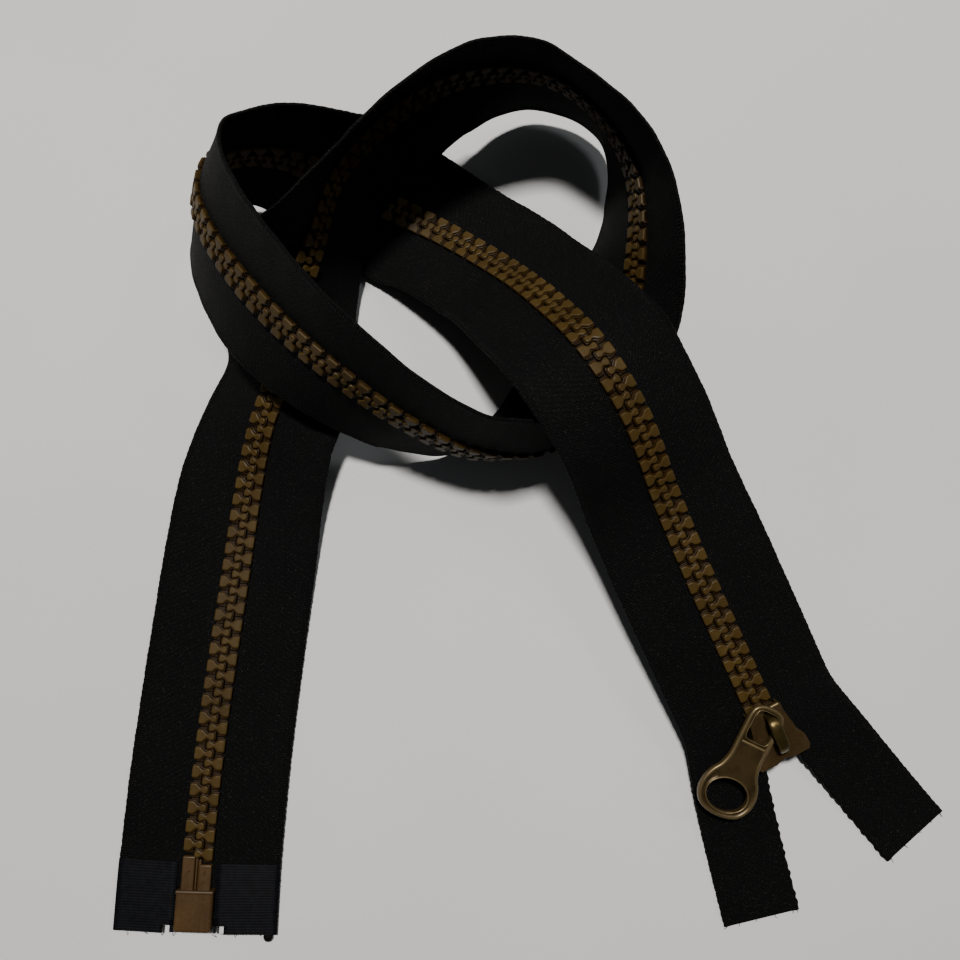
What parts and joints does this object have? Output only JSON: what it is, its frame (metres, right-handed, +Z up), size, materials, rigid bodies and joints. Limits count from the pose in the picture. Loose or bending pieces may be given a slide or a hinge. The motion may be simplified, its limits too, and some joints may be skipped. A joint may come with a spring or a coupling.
{
  "type": "separating jacket zipper",
  "caption": "Separating jacket zipper on dark woven tapes with moulded teeth, retainer box and a locking slider with a ring pull, laid in a loose overhand knot.",
  "frame": {"origin": "on the table, under the middle of the whole object's box", "axes": "+Z up from the table; +Y from the two free ends towards the knot; +X from the retainer box leg towards the slider leg"},
  "size_m": [0.1616, 0.1701, 0.0415],
  "materials": {
    "tape": "matt black polyester twill",
    "teeth": "satin bronze-coloured acetal",
    "film": "glossy film pressed on ribbed tape",
    "box": "satin bronze-brown acetal",
    "body": "satin brown paint on die-cast zinc",
    "brass": "antique brass plating",
    "steel": "plain spring steel"
  },
  "bodies": {
    "closed_chain": {"left_tape": "tape", "right_tape": "tape", "left_teeth": "teeth", "right_teeth": "teeth", "retainer_box": "box", "insertion_pin": "box", "retaining_pin": "box", "left_front_film": "film", "left_back_film": "film", "right_front_film": "film", "right_back_film": "film"},
    "slider": {"slider_body": "body", "slider_crown": "brass"},
    "left_leaf": {"left_tape_top": "tape", "left_teeth_top": "teeth", "left_top_stop": "teeth"},
    "right_leaf": {"right_tape_top": "tape", "right_teeth_top": "teeth", "right_top_stop": "teeth"},
    "pull": {"pull_tab": "brass"},
    "pawl": {"lock_spring": "steel"}
  },
  "joints": [
    {"name": "slider_travel", "type": "slide", "parent": "closed_chain", "child": "slider", "axis": [-0.4278, 0.8782, 0.2139], "range_m": [0, 0.024]},
    {"name": "left_leaf_swing", "type": "hinge", "parent": "closed_chain", "child": "left_leaf", "pos_m": [0.03228, -0.01868, 0.0113], "axis": [0.0937, -0.1923, 0.9769], "range_deg": [0, 8], "deforming": ["left_tape_top", "left_teeth_top"]},
    {"name": "right_leaf_swing", "type": "hinge", "parent": "closed_chain", "child": "right_leaf", "pos_m": [0.03228, -0.01868, 0.0113], "axis": [0.0937, -0.1923, 0.9769], "range_deg": [-8, 0], "deforming": ["right_tape_top", "right_teeth_top"]},
    {"name": "pull_swivel", "type": "hinge", "parent": "slider", "child": "pull", "pos_m": [0.04443, -0.04363, 0.00968], "axis": [-0.0937, 0.1923, -0.9769], "range_deg": [-3, 65]},
    {"name": "pawl_lift", "type": "slide", "parent": "slider", "child": "pawl", "axis": [0.0937, -0.1923, 0.9769], "range_m": [0, 0.00025], "stiffness_N_per_m": 200}
  ],
  "couplings": [
    {"joint": "left_leaf_swing", "follows": "slider_travel", "rad_per_m": 5.8},
    {"joint": "right_leaf_swing", "follows": "slider_travel", "rad_per_m": -5.8}
  ]
}
